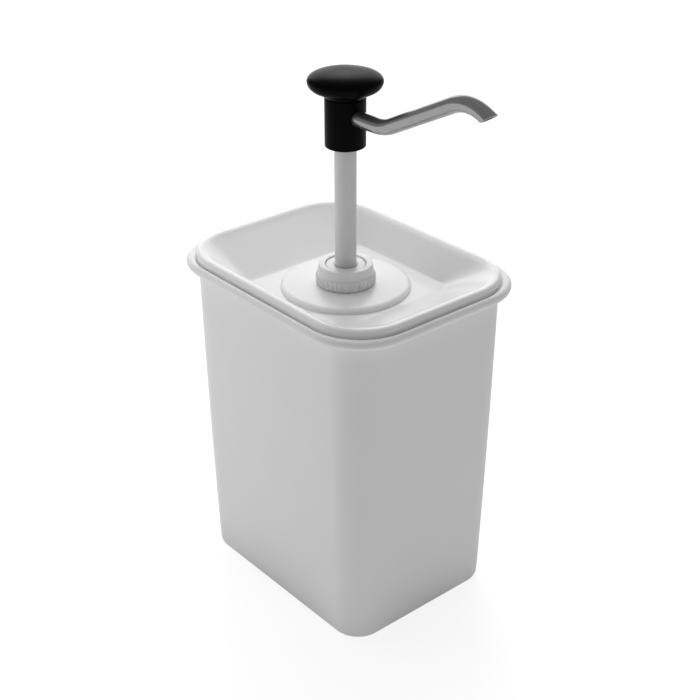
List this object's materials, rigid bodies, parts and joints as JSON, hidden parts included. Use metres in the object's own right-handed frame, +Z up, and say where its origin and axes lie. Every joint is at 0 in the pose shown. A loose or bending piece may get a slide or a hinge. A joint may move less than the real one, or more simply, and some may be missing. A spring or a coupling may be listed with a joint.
{
  "type": "sauce pump dispenser",
  "caption": "Countertop sauce dispenser: rounded rectangular tub, dished lid with a spring-return plunger pump through its boss, black push knob and a bent steel spout that swivels.",
  "frame": {"origin": "middle of the tub's flat base, on the plunger's axis", "axes": "+Z up along the plunger, +X along the tub's long side and the spout at rest, +Y along its short side"},
  "size_m": [0.1893, 0.1306, 0.316],
  "materials": {
    "tub_plastic": "satin moulded white",
    "lid_plastic": "glossy moulded white",
    "pump_plastic": "semi-gloss moulded white",
    "stem_plastic": "semi-gloss greyish white",
    "black_plastic": "semi-gloss moulded black",
    "spout_steel": "satin stainless tube with fine draw lines",
    "spring_steel": "bright drawn wire",
    "ball_steel": "polished",
    "seal_rubber": "matt"
  },
  "bodies": {
    "tub": {"container": "tub_plastic"},
    "lid_set": {"lid": "lid_plastic", "collar_nut": "pump_plastic", "stem_guide": "pump_plastic", "stem_wiper": "seal_rubber", "barrel": "pump_plastic", "barrel_gasket": "seal_rubber", "inlet_foot": "pump_plastic", "foot_o_ring": "seal_rubber", "ball_cage": "pump_plastic", "dip_tube": "pump_plastic", "return_spring": "spring_steel"},
    "inlet_valve": {"inlet_ball": "ball_steel"},
    "piston_set": {"piston": "pump_plastic", "piston_seal": "seal_rubber"},
    "outlet_valve": {"outlet_ball": "ball_steel"},
    "plunger": {"stem": "stem_plastic", "head_o_ring": "seal_rubber", "pump_head": "black_plastic", "push_knob": "black_plastic", "spout": "spout_steel", "spout_o_ring": "seal_rubber"}
  },
  "joints": [
    {"name": "lid_lift", "type": "slide", "parent": "tub", "child": "lid_set", "axis": [0, 0, 1], "range_m": [0, 0.205]},
    {"name": "pump_stroke", "type": "slide", "parent": "lid_set", "child": "piston_set", "axis": [0, 0, -1], "range_m": [0, 0.064], "stiffness_N_per_m": 120, "springref_m": -0.05, "deforming": ["return_spring"]},
    {"name": "spout_swivel", "type": "hinge", "parent": "piston_set", "child": "plunger", "pos_m": [0, 0, 0.18], "axis": [0, 0, 1], "continuous": true},
    {"name": "inlet_ball_lift", "type": "slide", "parent": "lid_set", "child": "inlet_valve", "axis": [0, 0, 1], "range_m": [0, 0.0025]},
    {"name": "outlet_ball_lift", "type": "slide", "parent": "piston_set", "child": "outlet_valve", "axis": [0, 0, 1], "range_m": [0, 0.0025]}
  ]
}
